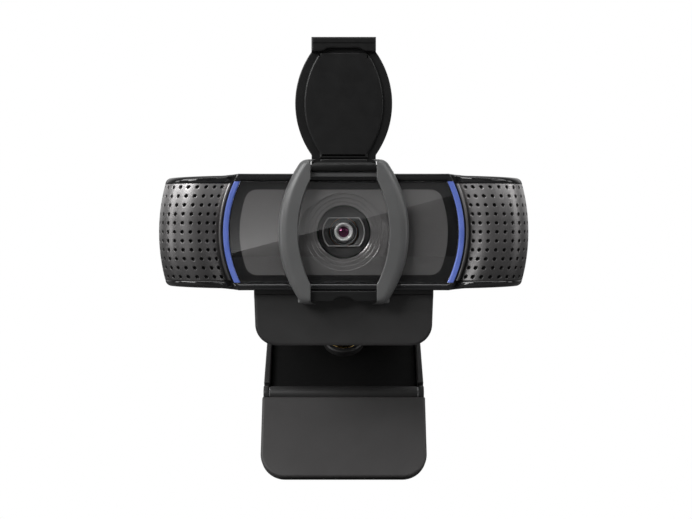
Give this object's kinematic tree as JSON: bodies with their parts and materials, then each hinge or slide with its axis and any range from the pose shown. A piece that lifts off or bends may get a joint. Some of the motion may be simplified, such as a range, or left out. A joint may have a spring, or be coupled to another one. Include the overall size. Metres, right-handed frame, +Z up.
{
  "type": "webcam",
  "caption": "Clip-on webcam: wide camera head with flip-up privacy cover, tilting on a folding screen clip with a tripod thread.",
  "frame": {"origin": "centre of the underside of the saddle's rubber pad, which rests on the screen's top edge", "axes": "+Z up, -Y the way the camera looks, +X along the head's length"},
  "size_m": [0.0944, 0.0738, 0.1159],
  "materials": {
    "gloss_black": "high gloss black",
    "satin_black": "fine satin texture, black",
    "clear_pane": "polished clear pane",
    "printed_plate": "grey print with a black surround",
    "light_guide": "frosted, lit blue",
    "grille_grey": "satin metallic grey",
    "acoustic_cloth": "fine black weave",
    "lens_trim": "satin dark grey",
    "drive_plastic": "matte black",
    "steel": "bright zinc plate",
    "filter_glass": "coated",
    "sensor_glass": "dark sensor package",
    "circuit_board": "green solder mask",
    "chip_black": "moulded package",
    "soft_grey": "soft silicone",
    "aluminium": "plain",
    "lamp_white": "clear lamp",
    "flex_amber": "polyimide film",
    "socket_white": "moulded",
    "black_rubber": "matte black",
    "frame_grey": "satin dark grey",
    "barrel_black": "matte black",
    "lens_glass": "coated, magenta reflection",
    "copper": "enamelled copper wire",
    "cover_black": "satin black",
    "brass": "turned",
    "soft_touch": "soft-touch dark grey"
  },
  "bodies": {
    "saddle_body": {"saddle": "satin_black", "saddle_pad": "black_rubber", "lip_pad": "black_rubber", "tilt_pin": "steel", "tilt_washers": "steel", "leg_hinge_pin": "steel", "leg_washers": "steel"},
    "head_body": {"front_bezel": "gloss_black", "rear_housing": "satin_black", "window": "clear_pane", "face_plate": "printed_plate", "light_guide_right": "light_guide", "light_guide_left": "light_guide", "mic_grille_right": "grille_grey", "mic_grille_left": "grille_grey", "grille_cloth_right": "acoustic_cloth", "grille_cloth_left": "acoustic_cloth", "lens_escutcheon": "lens_trim", "focus_drive": "drive_plastic", "focus_magnets": "steel", "infrared_filter": "filter_glass", "image_sensor": "sensor_glass", "main_board": "circuit_board", "board_chips": "chip_black", "thermal_pad": "soft_grey", "heat_sink": "aluminium", "board_spacers": "aluminium", "board_screws": "steel", "housing_screws": "steel", "lamp_board_right": "circuit_board", "lamp_board_left": "circuit_board", "status_lamps": "lamp_white", "microphones": "steel", "microphone_boots": "soft_grey", "flex_lead_right": "flex_amber", "flex_lead_left": "flex_amber", "cable_socket": "socket_white", "cable_grommet": "black_rubber", "tilt_bracket": "steel", "shutter_frame": "frame_grey", "shutter_pad": "black_rubber", "shutter_pin": "steel"},
    "lens_body": {"lens_barrel": "barrel_black", "front_element": "lens_glass", "inner_elements": "lens_glass", "focus_coil": "copper"},
    "cover_body": {"shutter_cover": "cover_black", "cover_liner": "cover_black"},
    "leg_body": {"leg_frame": "satin_black", "leg_liner": "black_rubber", "tripod_insert": "brass", "foot_hinge_pin": "steel", "foot_washers": "steel"},
    "foot_body": {"foot_plate": "satin_black", "foot_pad": "soft_touch"}
  },
  "joints": [
    {"name": "head_tilt", "type": "hinge", "parent": "saddle_body", "child": "head_body", "pos_m": [0, -0.026, 0.0064], "axis": [1, 0, 0], "range_deg": [-10, 20]},
    {"name": "cover_flip", "type": "hinge", "parent": "head_body", "child": "cover_body", "pos_m": [0, -0.0343, 0.0376], "axis": [1, 0, 0], "range_deg": [0, 180]},
    {"name": "focus_slide", "type": "slide", "parent": "head_body", "child": "lens_body", "axis": [0, -1, 0], "range_m": [0, 0.00035], "stiffness_N_per_m": 60},
    {"name": "leg_swing", "type": "hinge", "parent": "saddle_body", "child": "leg_body", "pos_m": [0, 0.0345, -0.0026], "axis": [1, 0, 0], "range_deg": [-39, 51]},
    {"name": "foot_swing", "type": "hinge", "parent": "leg_body", "child": "foot_body", "pos_m": [0, 0.00901, -0.02324], "axis": [1, 0, 0], "range_deg": [-24.5, 40]}
  ]
}
